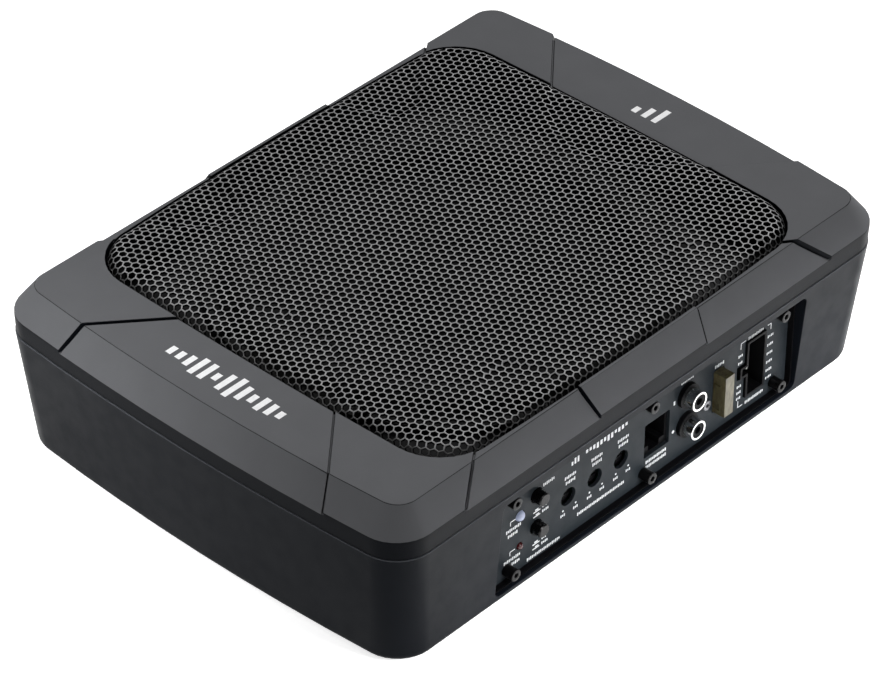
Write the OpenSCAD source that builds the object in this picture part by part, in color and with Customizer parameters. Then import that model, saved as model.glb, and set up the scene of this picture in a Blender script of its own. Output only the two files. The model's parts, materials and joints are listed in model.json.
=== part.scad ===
// Powered underseat car subwoofer: cast housing, plastic cover, domed grille,
// shallow woofer, and a control panel let into the front wall.
// Heights inside the modules are measured from the housing's underside.

/* [Body] */
// Overall length, measured at the middle of the bowed ends
body_l = 285; // [281:0.5:289]
// Overall width
body_w = 209.6; // [208:0.2:212]
// Length of the housing at its underside
base_l = 274.6; // [272:0.2:278]
// Width of the housing at its underside
base_w = 201.1; // [200:0.1:203]
// How far each end bows outward at its middle
end_bow = 4.7; // [3:0.1:6]
// Radius of the vertical corners
corner_r = 15; // [13:0.5:17]
// Height of the line where the cover meets the housing
joint_z = 54.1; // [53.6:0.1:54.6]
// Thickness of the housing walls
wall = 3.2; // [2.8:0.1:3.4]
// Thickness of the housing floor
floor_t = 3; // [2.6:0.1:3.4]
// Radius of the bottom edge
base_edge_r = 3; // [2:0.5:4]
// How far the rubber feet stand out below the housing
foot_h = 1; // [0.6:0.1:1.6]

/* [Cover] */
// Length of the flat top
top_l = 269.1; // [268:0.1:270]
// Width of the flat top
top_w = 194; // [193.6:0.1:194.6]
// Corner radius of the flat top
top_r = 8; // [7:0.5:9]
// Height of the raised top faces
top_z = 73.7; // [73.4:0.1:74]
// Height of the chamfer's lower edge on the raised sections
chamfer_z = 62.9; // [62.6:0.1:63.2]
// How much lower the sunk sections of the top lie
step_h = 0.76; // [0.5:0.02:0.9]
// How much the skirt leans in at the joint line
skirt_lean = 0.4; // [0.2:0.1:0.6]

/* [Grille] */
// Length of the grille opening
opening_l = 211; // [210:0.5:212]
// Width of the grille opening
opening_w = 191.6; // [191.2:0.1:191.8]
// Corner radius of the grille opening
opening_r = 21; // [19:0.5:23]
// Bow of the opening's short sides
opening_bow_x = 1.5; // [1:0.1:2]
// Bow of the opening's long sides
opening_bow_y = 2.5; // [2:0.1:3]
// Gap between the grille and the opening
grille_gap = 0.7; // [0.5:0.1:1]
// Height of the grille's field above the raised top
grille_rise = 2.5; // [2:0.1:3]
// Radius of the grille's rolled edge
grille_roll = 5.5; // [4.5:0.5:6.5]
// Thickness of the grille sheet
grille_t = 1.2; // [1:0.1:1.4]

/* [Control panel] */
// Middle of the panel recess along the front wall
panel_x = 4.3; // [3:0.1:6]
// Length of the recess
recess_l = 174; // [173:0.5:175]
// Height of the recess
recess_h = 46.3; // [46:0.1:46.6]
// Lower edge of the recess above the underside
recess_z = 4.2; // [4:0.1:4.4]
// Depth of the panel's face behind the middle plane of the front wall, as its y
panel_y = -96.8; // [-97:0.1:-96.6]
// Thickness of the panel plate
panel_t = 1.5; // [1.4:0.1:1.6]
// Distance between neighbouring panel screws along the wall
screw_pitch = 77.3; // [77:0.1:77.6]
// Diameter of the trimmer holes
trimmer_d = 8; // [7.4:0.1:8.2]
// Distance between neighbouring trimmers
trimmer_pitch = 15; // [14.6:0.1:15.4]
// Distance between the two phono sockets
rca_pitch = 14; // [13.8:0.1:14.2]

/* [Woofer] */
// Outer diameter of the woofer's frame
frame_d = 190; // [189:0.5:190.5]
// Diameter of the ferrite magnet
magnet_d = 110; // [104:1:112]
// Diameter of the voice coil former, inside
coil_d = 38; // [37.8:0.1:38.1]
// Outer diameter of the cone
cone_d = 141; // [140:0.5:142]

/* [Mounting] */
// Distance between the bracket holes along X
bracket_x = 200; // [198:1:202]
// Distance between the bracket holes along Y
bracket_y = 124; // [122:1:126]
// Diameter of the bracket holes
bracket_hole_d = 4.2; // [4:0.1:4.4]

/* [Hidden] */
$fn = 64;
ARC = 8;
SIDE = 8;
far = 200;
hl = body_l / 2;
hw = body_w / 2;
low_edge_z = chamfer_z - 1.4;
plate_z = 51.1;
plate_t = joint_z - plate_z;
recess_mid_z = recess_z + recess_h / 2;
recess_margin = 3;
bezel_y = -97.6;
bezel_top_z = plate_z - 0.1;
ledge_y = -99.2;
ledge_in = 0.8;
panel_back_y = panel_y + panel_t;
flange_t = 2;
board_y = -84.6;
board_t = 1.6;
screw_z = [9.76, 44.15];
screw_x = [for (i = [-1:1]) panel_x + 0.7 + i * screw_pitch];
lug_end_y = -88.5;
led_x = -65;
power_led_z = 31.2;
protect_led_z = 16.7;
button_x = -56;
phase_z = 35.8;
auto_z = 20.7;
button_r = 2.9;
trimmer_z = 24.2;
trimmer_x = [for (i = [0:2]) -38 + i * trimmer_pitch];
remote_x = 12.75;
rca_x = 29.75;
rca_z = 26.6;
rca_screw_x = 40.5;
rca_screw_z = 22.8;
fuse_x = 48.65;
fuse_z = 25.2;
fuse_w = 19.1;
fuse_thick = 5.1;
header_x = 70.35;
header_z = 25.6;
pin_pitch = 4.2;
post_xy = [[124, 86.5], [-124, 86.5], [-124, -86.5], [124, -86.5], [129, 0], [-129, 0]];
post_r = 4.6;
counterbore_r = 3.6;
counterbore_z = 40;
foot_xy = [112, 78];
foot_r = 8;
insert_r = 3.5;
stud_r = 1.8;
stud_z = 1.2;
recess_r = 3;
rib_x0 = 126;
standoff_z = 10;
standoff_x = [68, 118];
standoff_y = 60;
spacer_xy = [[-47.5, 11.4], [-47.5, 43.5], [56.5, 11.4], [56.5, 43.5]];
bolt_circle_r = 92.2;
frame_screws = 8;
hole_r = 89.5;
grille_screw_xy = [for (x = [-111, 111]) for (y = [-34, 0, 34]) [x, y]];

// ---- outlines: a rounded rectangle whose sides bow outward ----

function arc_points(cx, cy, r, start) =
    [for (i = [0:ARC]) [cx + r * cos(start + 90 * i / ARC), cy + r * sin(start + 90 * i / ARC)]];

function side_points(a, b) = [for (i = [1:SIDE - 1]) a + (b - a) * i / SIDE];

function rounded_points(x, y, r) = concat(
    arc_points(x - r, y - r, r, 0),
    side_points([x - r, y], [r - x, y]),
    arc_points(r - x, y - r, r, 90),
    side_points([-x, y - r], [-x, r - y]),
    arc_points(r - x, r - y, r, 180),
    side_points([r - x, -y], [x - r, -y]),
    arc_points(x - r, r - y, r, 270),
    side_points([x, r - y], [x, y - r]));

// x and y are the half sizes at the middle of the sides, bx and by the bows
function outline(x, y, r, bx, by) =
    [for (p = rounded_points(x - bx, y - by, r)) [
        p[0] * (1 + bx / (x - bx) * (1 - pow(p[1] / (y - by), 2))),
        p[1] * (1 + by / (y - by) * (1 - pow(p[0] / (x - bx), 2)))]];

// A solid through rings, each [half length, half width, corner radius, z]
module loft(rings, bx, by) {
    n = 4 * (ARC + 1) + 4 * (SIDE - 1);
    last = len(rings) - 1;
    points = [for (g = rings) for (p = outline(g[0], g[1], g[2], bx, by)) [p[0], p[1], g[3]]];
    sides = [for (k = [0:last - 1]) for (i = [0:n - 1]) each
        [[k * n + i, k * n + n + i, k * n + (i + 1) % n],
         [k * n + (i + 1) % n, k * n + n + i, k * n + n + (i + 1) % n]]];
    base = [for (i = [0:n - 1]) i];
    lid = [for (i = [n - 1:-1:0]) last * n + i];
    polyhedron(points, concat([base], sides, [lid]));
}

module slab(x, y, r, bx, by, z0, z1) {
    translate([0, 0, z0]) linear_extrude(z1 - z0) polygon(outline(x, y, r, bx, by));
}

// The grille opening's outline, grown by g, from z0 to z1
module opening_slab(g, z0, z1) {
    slab(opening_l / 2 + g, opening_w / 2 + g, opening_r + g, opening_bow_x, opening_bow_y, z0, z1);
}

// ---- small shared shapes ----

module on_feet() {
    translate([0, 0, foot_h]) children();
}

// A box between two corners
module block(a, b) {
    translate(a) cube(b - a);
}

// A cylinder along Y from y0 to y1
module bar_y(x, z, r, y0, y1) {
    translate([x, y0, z]) rotate([-90, 0, 0]) cylinder(h = y1 - y0, r = r);
}

// A rectangle with round corners, centred
module round_rect(w, h, r) {
    square([w - 2 * r, h], center = true);
    square([w, h - 2 * r], center = true);
    for (x = [-1, 1]) for (y = [-1, 1]) translate([x * (w / 2 - r), y * (h / 2 - r)]) circle(r);
}

// A prism along Y with a round-cornered section, from y0 to y1
module prism_y(x, z, w, h, r, y0, y1) {
    translate([x, y1, z]) rotate([90, 0, 0]) linear_extrude(y1 - y0) round_rect(w, h, r);
}

// A socket-head screw along +Y whose head starts at y0
module cap_screw_y(x, z, y0, head_r, head_h, shank_r, shank_l) {
    socket_r = 0.46 * head_r;
    socket_d = 0.6 * head_h;
    difference() {
        union() {
            bar_y(x, z, head_r, y0, y0 + head_h);
            bar_y(x, z, shank_r, y0 + head_h, y0 + head_h + shank_l);
        }
        translate([x, y0 - 1, z]) rotate([-90, 0, 0]) cylinder(h = socket_d + 1, r = socket_r, $fn = 6);
    }
}

// A pan-head screw pointing up or down from z, its head on the far side
module pan_screw_z(x, y, z, head_r, head_h, shank_r, shank_l, down = true) {
    cross_l = 1.3 * head_r;
    cross_w = 0.28 * head_r;
    cross_d = 0.5 * head_h;
    translate([x, y, z]) mirror([0, 0, down ? 0 : 1]) difference() {
        union() {
            cylinder(h = head_h, r = head_r);
            translate([0, 0, -shank_l]) cylinder(h = shank_l, r = shank_r);
        }
        for (a = [0, 90]) rotate(a) translate([-cross_l / 2, -cross_w / 2, head_h - cross_d])
            cube([cross_l, cross_w, head_h]);
    }
}

function bezier(p, n) = [for (i = [0:n]) let (t = i / n, s = 1 - t)
    s * s * s * p[0] + 3 * s * s * t * p[1] + 3 * s * t * t * p[2] + t * t * t * p[3]];

// A round wire along a cubic curve with control points p; side lies across the curve's plane
module wire(p, r, side) {
    rings = 12;
    sides = 8;
    curve = bezier(p, rings);
    function heading(k) = let (v = curve[min(k + 1, rings)] - curve[max(k - 1, 0)]) v / norm(v);
    points = [for (k = [0:rings]) let (u = side / norm(side), v = cross(heading(k), u))
        for (i = [0:sides - 1]) curve[k] + r * (cos(360 * i / sides) * u + sin(360 * i / sides) * v)];
    skin = [for (k = [0:rings - 1]) for (i = [0:sides - 1]) each
        [[k * sides + i, k * sides + (i + 1) % sides, (k + 1) * sides + i],
         [k * sides + (i + 1) % sides, (k + 1) * sides + (i + 1) % sides, (k + 1) * sides + i]]];
    start = [for (i = [sides - 1:-1:0]) i];
    end = [for (i = [0:sides - 1]) rings * sides + i];
    polyhedron(points, concat([start], skin, [end]));
}

// ---- enclosure ----

// Half sizes of the drafted housing wall at height z
function wall_x(z) = base_l / 2 + (hl - base_l / 2) * z / joint_z;
function wall_y(z) = base_w / 2 + (hw - base_w / 2) * z / joint_z;

module housing_outside() {
    edge = [for (a = [0:22.5:90]) let (z = base_edge_r * (1 - cos(a)), i = base_edge_r * (1 - sin(a)))
        [wall_x(z) - i, wall_y(z) - i, corner_r - i, z]];
    loft(concat(edge, [[hl, hw, corner_r, joint_z]]), end_bow, 0);
}

module housing_inside() {
    r = corner_r - wall;
    loft([[wall_x(floor_t) - wall, wall_y(floor_t) - wall, r, floor_t],
          [hl - wall, hw - wall, r, joint_z + 1]], end_bow, 0);
}

// A rib that carries the heat of one row of transistors to the floor
module heat_rib(side) {
    rib_t = 5;
    mirror([side > 0 ? 0 : 1, 0, 0]) block([rib_x0, -76, floor_t - 1], [rib_x0 + rib_t, -12, 26]);
}

module lower_housing() {
    post_foot_z = 1;
    foot_pocket = 1;
    color([0.16, 0.17, 0.18]) on_feet() difference() {
        union() {
            difference() {
                housing_outside();
                housing_inside();
            }
            intersection() {
                housing_outside();
                union() {
                    block([panel_x - recess_l / 2 - recess_margin, -far, floor_t - 1],
                          [panel_x + recess_l / 2 + recess_margin, bezel_y, bezel_top_z]);
                    for (p = post_xy) translate([p[0], p[1], post_foot_z])
                        cylinder(h = plate_z - post_foot_z, r = post_r);
                    for (s = [-1, 1]) heat_rib(s);
                }
            }
        }
        prism_y(panel_x, recess_mid_z, recess_l, recess_h, recess_r, -far, bezel_y + 1);
        for (p = post_xy) translate([p[0], p[1], -1]) {
            cylinder(h = counterbore_z + 1, r = counterbore_r);
            cylinder(h = far, r = 1.8);
        }
        for (sx = [-1, 1]) for (sy = [-1, 1]) {
            translate([sx * bracket_x / 2, sy * bracket_y / 2, -1])
                cylinder(h = floor_t + 2, r = insert_r);
            translate([sx * foot_xy[0], sy * foot_xy[1], -1]) cylinder(h = foot_pocket + 1, r = foot_r);
            for (x = standoff_x) translate([sx * x, sy * standoff_y, stud_z])
                cylinder(h = floor_t, r = stud_r + 0.1);
        }
    }
}

module cover_low(inset = 0) {
    lean = skirt_lean + inset;
    loft([[hl - lean, hw - lean, corner_r - lean, joint_z],
          [hl - inset, hw - inset, corner_r - inset, low_edge_z],
          [top_l / 2 - 0.5 - inset, top_w / 2 - 0.5 - inset, top_r, top_z - step_h - inset]], end_bow, 0);
}

module cover_raised() {
    sunk = 3.5;
    loft([[hl - 1.2, hw - 1.2, corner_r - 1, low_edge_z - sunk],
          [hl, hw, corner_r, low_edge_z],
          [hl, hw, corner_r, chamfer_z],
          [top_l / 2, top_w / 2, top_r, top_z]], end_bow, 0);
}

// Plan of the raised sections: four corners and the middle of each long side
module raised_plan() {
    reach = 160;
    for (mx = [0, 1]) for (my = [0, 1]) mirror([mx, 0]) mirror([0, my]) {
        polygon([[80, 70], [96, 33.5], [105.5, 41.5], [132, 64], [140.5, 69], [reach, 80.5],
                 [reach, reach], [154, 136.4], [105, 105], [92.5, 97], [87, 93]]);
        polygon([[-1, 80], [33, 80], [33, top_w / 2], [30, hw], [30, reach], [-1, reach]]);
    }
}

// Strip of the top and chamfer that a groove takes up, along the foot of every raised section
module groove_strip() {
    groove_w = 0.8;
    translate([0, 0, low_edge_z]) linear_extrude(far) difference() {
        offset(delta = groove_w) raised_plan();
        raised_plan();
    }
}

module top_cover() {
    r = corner_r - wall;
    collar_t = 1.6;
    collar_z = 64.3;
    groove_d = 0.9;
    color([0.33, 0.33, 0.35]) on_feet() difference() {
        union() {
            difference() {
                union() {
                    difference() {
                        cover_low();
                        groove_strip();
                    }
                    cover_low(groove_d);
                    intersection() {
                        cover_raised();
                        linear_extrude(far) raised_plan();
                    }
                }
                loft([[hl - 3.5, hw - 3.4, r, joint_z - 1],
                      [hl - wall, hw - wall, r, low_edge_z - 0.5],
                      [top_l / 2 - 1.5, top_w / 2 - 1.4, top_r - 1.5, top_z - 3]], end_bow, 0);
            }
            difference() {
                opening_slab(collar_t, collar_z, 70.8);
                opening_slab(-1, collar_z - 1, 72);
            }
            for (p = post_xy) translate([p[0], p[1], joint_z]) cylinder(h = 17.3, r = 4);
            for (p = grille_screw_xy) translate([p[0], p[1], collar_z]) cylinder(h = 7, r = 3.6);
        }
        opening_slab(0, joint_z - 1, far);
        for (p = post_xy) translate([p[0], p[1], joint_z - 1]) cylinder(h = 13, r = 1.55);
        for (p = grille_screw_xy) translate([p[0], p[1], collar_z - 1]) cylinder(h = 6, r = 1.3);
    }
}

// Rings of the domed grille; t moves the surface inward along its normal
function grille_rings(t) = let (
    x = opening_l / 2 - grille_gap, y = opening_w / 2 - grille_gap, r = opening_r - grille_gap,
    top = top_z + grille_rise, crown = 0.4)
    concat(
        [[x - t, y - t, r - t, 66 - (t > 0 ? 1 : 0)]],
        [for (a = [0:18:90]) let (i = grille_roll - (grille_roll - t) * cos(a))
            [x - i, y - i, r - i, top - grille_roll + (grille_roll - t) * sin(a)]],
        [[x - 40, y - 40, 10, top + crown - t]]);

module grille() {
    color([0.05, 0.05, 0.05]) on_feet() difference() {
        loft(grille_rings(0), opening_bow_x, opening_bow_y);
        loft(grille_rings(grille_t), opening_bow_x, opening_bow_y);
    }
}

module grille_frame() {
    z0 = 62.3;
    z1 = 64.3;
    color([0.08, 0.08, 0.08]) on_feet() difference() {
        union() {
            opening_slab(3, z0, z1);
            opening_slab(-0.9, z0, 66);
            for (p = grille_screw_xy) translate([p[0], p[1], z0]) cylinder(h = z1 - z0, r = 4.5);
        }
        opening_slab(-2.9, z1 - 0.01, 67);
        opening_slab(-7, z0 - 1, 67);
        for (p = grille_screw_xy) translate([p[0], p[1], z0 - 1]) cylinder(h = 4, r = 1.6);
    }
}

module grille_screws() {
    color([0.25, 0.25, 0.26]) on_feet() for (p = grille_screw_xy)
        pan_screw_z(p[0], p[1], 62.3, 2.6, 1.6, 1.25, 6, down = false);
}

module baffle_plate() {
    clear = 0.4;
    color([0.12, 0.12, 0.13]) on_feet() difference() {
        slab(wall_x(plate_z) - wall - clear, wall_y(plate_z) - wall - clear, corner_r - wall - clear,
            end_bow, 0, plate_z, joint_z);
        translate([0, 0, plate_z - 1]) cylinder(h = 5, r = hole_r);
        for (p = post_xy) translate([p[0], p[1], plate_z - 1]) cylinder(h = 5, r = 2);
        for (i = [0:frame_screws - 1]) rotate(22.5 + 360 * i / frame_screws)
            translate([bolt_circle_r, 0, plate_z - 1]) cylinder(h = 5, r = 1.65);
    }
}

module cover_screws() {
    color([0.2, 0.2, 0.21]) on_feet() for (p = post_xy)
        pan_screw_z(p[0], p[1], counterbore_z, 3.2, 2.4, 1.5, 25, down = false);
}

module rubber_feet() {
    color([0.06, 0.06, 0.06]) for (sx = [-1, 1]) for (sy = [-1, 1])
        translate([sx * foot_xy[0], sy * foot_xy[1], 0]) rotate_extrude()
            polygon([[0, 0], [foot_r - 1.4, 0], [foot_r - 0.8, 0.3], [foot_r - 0.6, foot_h + 1],
                     [0, foot_h + 1]]);
}

// Rivet nuts for the bracket screws, their collars swaged against the floor's inner face
module bracket_inserts() {
    length = 10;
    collar_r = 5.2;
    collar_t = 1.6;
    color([0.8, 0.65, 0.3]) on_feet() for (sx = [-1, 1]) for (sy = [-1, 1])
        translate([sx * bracket_x / 2, sy * bracket_y / 2, 0]) difference() {
            union() {
                cylinder(h = length, r = insert_r);
                translate([0, 0, floor_t]) cylinder(h = collar_t, r = collar_r);
            }
            translate([0, 0, -1]) cylinder(h = length + 2, r = bracket_hole_d / 2);
        }
}

// ---- control panel ----

lug_r = 4.2;

module panel_lug(x, z) {
    root_z = z < recess_mid_z ? recess_z : recess_z + recess_h;
    bar_y(x, z, lug_r, panel_back_y, lug_end_y);
    block([x - lug_r, panel_back_y, min(z, root_z)], [x + lug_r, lug_end_y, max(z, root_z)]);
}

// The frame behind the front wall's window, which holds the panel
module panel_bezel() {
    window_in = 4;
    fit = 0.1;
    back_y = panel_back_y + flange_t;
    lug_hole_r = 1.55;
    color([0.1, 0.1, 0.11]) on_feet() difference() {
        union() {
            block([panel_x - recess_l / 2 - recess_margin, bezel_y, floor_t + fit],
                  [panel_x + recess_l / 2 + recess_margin, back_y, bezel_top_z]);
            prism_y(panel_x, recess_mid_z, recess_l - 2 * fit, recess_h - 2 * fit, recess_r,
                ledge_y, bezel_y + 1);
            for (x = screw_x) for (z = screw_z) panel_lug(x, z);
        }
        prism_y(panel_x, recess_mid_z, recess_l - 2 * ledge_in, recess_h - 2 * ledge_in, 2.2,
            ledge_y - 1, panel_back_y);
        difference() {
            prism_y(panel_x, recess_mid_z, recess_l - 2 * window_in, recess_h - 2 * window_in, 2,
                panel_back_y - 1, back_y + 1);
            for (x = screw_x) for (z = screw_z) bar_y(x, z, lug_r, panel_back_y - 2, lug_end_y);
        }
        for (x = screw_x) for (z = screw_z) bar_y(x, z, lug_hole_r, panel_back_y - 1, lug_end_y + 1);
    }
}

module control_panel() {
    gap = 0.25;
    cut0 = panel_y - 1;
    cut1 = panel_back_y + 1;
    color([0.2, 0.21, 0.22]) on_feet() difference() {
        prism_y(panel_x, recess_mid_z, recess_l - 2 * ledge_in - 2 * gap,
            recess_h - 2 * ledge_in - 2 * gap, 2, panel_y, panel_back_y);
        for (x = screw_x) for (z = screw_z) bar_y(x, z, 1.7, cut0, cut1);
        bar_y(led_x, power_led_z, 2.5, cut0, cut1);
        bar_y(led_x, protect_led_z, 1.7, cut0, cut1);
        for (z = [phase_z, auto_z]) bar_y(button_x, z, button_r + 0.35, cut0, cut1);
        for (x = trimmer_x) bar_y(x, trimmer_z, trimmer_d / 2, cut0, cut1);
        prism_y(remote_x, trimmer_z, 14.5, 16, 0.6, cut0, cut1);
        for (s = [-1, 1]) bar_y(rca_x, rca_z + s * rca_pitch / 2, 5.6, cut0, cut1);
        bar_y(rca_screw_x, rca_screw_z, 1.4, cut0, cut1);
        prism_y(fuse_x, fuse_z, fuse_thick + 1, fuse_w + 1, 0.5, cut0, cut1);
        prism_y(header_x, header_z, 12, 27.6, 0.6, cut0, cut1);
        block([header_x - 10.4, cut0, header_z - 3.3], [header_x, cut1, header_z + 3.3]);
    }
}

module panel_screws() {
    color([0.07, 0.07, 0.07]) on_feet() for (x = screw_x) for (z = screw_z)
        cap_screw_y(x, z, -102, 2.5, 5.2, 1.5, 8);
}

module led(x, z, r, front_y) {
    leg_r = 0.35;
    union() {
        bar_y(x, z, r, front_y, -89);
        translate([x, front_y, z]) sphere(r);
        for (s = [-1, 1]) bar_y(x + s * 1.0, z, leg_r, -90, board_y);
    }
}

module power_led() {
    color([0.8, 0.85, 1]) on_feet() led(led_x, power_led_z, 2.3, panel_y + 0.6);
}

module protect_led() {
    color([0.5, 0.05, 0.05]) on_feet() led(led_x, protect_led_z, 1.5, panel_y + 0.2);
}

switch_front_y = -90.4;
stem_w = 2.4;

module push_button(z) {
    cap_front_y = -101.2;
    cap_back_y = -93.4;
    stem_end_y = -88.4;
    edge = 0.5;
    union() {
        translate([button_x, cap_front_y, z]) rotate([-90, 0, 0]) rotate_extrude() polygon([[0, 0],
            [button_r - edge, 0], [button_r, edge], [button_r, cap_back_y - cap_front_y],
            [0, cap_back_y - cap_front_y]]);
        block([button_x - stem_w / 2, cap_back_y - 1, z - stem_w / 2],
              [button_x + stem_w / 2, stem_end_y, z + stem_w / 2]);
    }
}

module push_switch(z) {
    half = 4;
    bore = stem_w / 2 + 0.15;
    bore_end_y = -85.6;
    difference() {
        block([button_x - half, switch_front_y, z - half], [button_x + half, board_y, z + half]);
        block([button_x - bore, switch_front_y - 1, z - bore], [button_x + bore, bore_end_y, z + bore]);
    }
}

module phase_button() {
    color([0.05, 0.05, 0.05]) on_feet() push_button(phase_z);
}

module auto_power_button() {
    color([0.05, 0.05, 0.05]) on_feet() push_button(auto_z);
}

module push_switches() {
    color([0.15, 0.15, 0.17]) on_feet() for (z = [phase_z, auto_z]) push_switch(z);
}

shaft_r = 1.6;

module trimmer_body(x) {
    half = 5;
    front_y = -91;
    difference() {
        block([x - half, front_y, trimmer_z - half], [x + half, board_y, trimmer_z + half]);
        bar_y(x, trimmer_z, shaft_r + 0.06, front_y - 1, -86);
    }
}

module trimmer_shaft(x) {
    head_r = 3.3;
    head_y = -94.6;
    slot_w = 0.9;
    slot_d = 1.1;
    difference() {
        union() {
            bar_y(x, trimmer_z, head_r, head_y, -91.8);
            bar_y(x, trimmer_z, shaft_r, -92, -86.3);
        }
        block([x - head_r, head_y - 1, trimmer_z - slot_w / 2],
              [x + head_r, head_y + slot_d, trimmer_z + slot_w / 2]);
    }
}

module low_pass_trimmer() {
    color([0.12, 0.2, 0.4]) on_feet() trimmer_body(trimmer_x[0]);
}

module bass_boost_trimmer() {
    color([0.12, 0.2, 0.4]) on_feet() trimmer_body(trimmer_x[1]);
}

module gain_trimmer() {
    color([0.12, 0.2, 0.4]) on_feet() trimmer_body(trimmer_x[2]);
}

module low_pass_shaft() {
    color([0.1, 0.1, 0.1]) on_feet() trimmer_shaft(trimmer_x[0]);
}

module bass_boost_shaft() {
    color([0.1, 0.1, 0.1]) on_feet() trimmer_shaft(trimmer_x[1]);
}

module gain_shaft() {
    color([0.1, 0.1, 0.1]) on_feet() trimmer_shaft(trimmer_x[2]);
}

jack_cavity_z = [19.6, 31];
jack_cavity_w = 12;
jack_back_y = -86.5;

module remote_jack() {
    z = trimmer_z;
    keyway_w = 6.2;
    keyway_z = 16.9;
    color([0.07, 0.07, 0.07]) on_feet() difference() {
        block([remote_x - 8.3, panel_back_y, z - 9], [remote_x + 8.3, board_y, z + 9]);
        block([remote_x - jack_cavity_w / 2, panel_back_y - 1, jack_cavity_z[0]],
              [remote_x + jack_cavity_w / 2, jack_back_y, jack_cavity_z[1]]);
        block([remote_x - keyway_w / 2, panel_back_y - 1, keyway_z],
              [remote_x + keyway_w / 2, jack_back_y, jack_cavity_z[0] + 1]);
    }
}

module remote_contacts() {
    pitch = 1.3;
    color([0.85, 0.7, 0.3]) on_feet() for (i = [-2.5:1:2.5])
        translate([remote_x + i * pitch, jack_back_y - 6.4, jack_cavity_z[1] - 2.6])
            rotate([18, 0, 0]) cube([0.5, 6.2, 0.5]);
}

module rca_block() {
    bore = 3.9;
    color([0.06, 0.06, 0.06]) on_feet() difference() {
        union() {
            block([rca_x - 6.2, panel_back_y, rca_z - 13], [rca_x + 13.8, board_y, rca_z + 13]);
            for (s = [-1, 1]) bar_y(rca_x, rca_z + s * rca_pitch / 2, 5.45, -98.6, panel_back_y + 1);
        }
        for (s = [-1, 1]) bar_y(rca_x, rca_z + s * rca_pitch / 2, bore, -99, -88);
        bar_y(rca_screw_x, rca_screw_z, 1.25, panel_back_y - 1, -88);
    }
}

rca_front_y = -103.4;

module rca_shells() {
    neck_r = 3.9;
    rim_r = 4.15;
    color([0.85, 0.85, 0.83]) on_feet() for (s = [-1, 1]) difference() {
        union() {
            bar_y(rca_x, rca_z + s * rca_pitch / 2, rim_r, rca_front_y, -98.6);
            bar_y(rca_x, rca_z + s * rca_pitch / 2, neck_r, -98.7, -88);
        }
        bar_y(rca_x, rca_z + s * rca_pitch / 2, 3.3, rca_front_y - 1, -87);
    }
}

module rca_insulators() {
    color([0.05, 0.05, 0.05]) on_feet() for (s = [-1, 1]) difference() {
        bar_y(rca_x, rca_z + s * rca_pitch / 2, 3.3, rca_front_y + 0.4, -88);
        bar_y(rca_x, rca_z + s * rca_pitch / 2, 1.6, rca_front_y - 1, -91);
    }
}

module rca_screw() {
    head_r = 2.1;
    head_h = 1.8;
    color([0.3, 0.3, 0.31]) on_feet()
        cap_screw_y(rca_screw_x, rca_screw_z, panel_y - head_h, head_r, head_h, 1.2, 6.5);
}

fuse_front_y = -102.6;
fuse_body_end_y = -91;
blade_z = 6.1;
blade_w = 5.2;
blade_t = 0.65;

module fuse_holder() {
    play = 0.2;
    clip = 3.6;
    color([0.06, 0.06, 0.06]) on_feet() difference() {
        block([fuse_x - 3.6, panel_back_y, fuse_z - 11], [fuse_x + 3.4, board_y, fuse_z + 11]);
        block([fuse_x - fuse_thick / 2 - play, panel_back_y - 1, fuse_z - fuse_w / 2 - play],
              [fuse_x + fuse_thick / 2 + play, fuse_body_end_y + 0.3, fuse_z + fuse_w / 2 + play]);
        for (s = [-1, 1]) translate([fuse_x, 0, fuse_z + s * blade_z])
            block([-1.6, fuse_body_end_y - 1, -clip], [1.6, board_y + 1, clip]);
    }
}

module fuse_clips() {
    gap = blade_t / 2 + 0.1;
    leaf = 0.8;
    half = 3;
    color([0.8, 0.78, 0.7]) on_feet() for (s = [-1, 1]) for (t = [-1, 1])
        translate([fuse_x + t * (gap + leaf / 2), 0, fuse_z + s * blade_z])
            block([-leaf / 2, fuse_body_end_y + 0.6, -half], [leaf / 2, board_y, half]);
}

module fuse_body() {
    waist = 1.1;
    head = 2.6;
    rib = 4.2;
    color([0.75, 0.72, 0.45]) on_feet() difference() {
        block([fuse_x - fuse_thick / 2, fuse_front_y, fuse_z - fuse_w / 2],
              [fuse_x + fuse_thick / 2, fuse_body_end_y, fuse_z + fuse_w / 2]);
        for (s = [-1, 1]) for (m = [0, 1])
            translate([fuse_x + s * fuse_thick / 2, 0, fuse_z]) mirror([0, 0, m])
            block([-waist / 2, fuse_front_y + head, rib],
                  [waist / 2, fuse_body_end_y + 1, fuse_w / 2 - 2]);
    }
}

module fuse_blades() {
    blade_end_y = -85.4;
    color([0.8, 0.8, 0.78]) on_feet() for (s = [-1, 1]) translate([fuse_x, 0, fuse_z + s * blade_z])
        block([-blade_t / 2, fuse_body_end_y, -blade_w / 2], [blade_t / 2, blade_end_y, blade_w / 2]);
}

header_front_y = -97.8;
header_floor_y = -88;

module power_header() {
    w = 11.5;
    h = 27;
    t = 1.1;
    color([0.05, 0.05, 0.05]) on_feet() difference() {
        union() {
            block([header_x - w / 2, header_front_y, header_z - h / 2],
                  [header_x + w / 2, board_y, header_z + h / 2]);
            block([header_x - w / 2 - 3.6, header_front_y, header_z - 2.8],
                  [header_x, board_y, header_z + 2.8]);
        }
        block([header_x - w / 2 + t, header_front_y - 1, header_z - h / 2 + t],
              [header_x + w / 2 - t, header_floor_y, header_z + h / 2 - t]);
        block([header_x - w / 2 - 2.5, header_front_y - 1, header_z - 1.6],
              [header_x, header_floor_y, header_z + 1.6]);
    }
}

module header_pins() {
    half = 0.55;
    color([0.75, 0.72, 0.6]) on_feet() for (i = [-2.5:1:2.5]) for (s = [-1, 1])
        translate([header_x + s * pin_pitch / 2, 0, header_z + i * pin_pitch])
            block([-half, -92, -half], [half, header_floor_y, half]);
}

// ---- electronics ----

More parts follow.
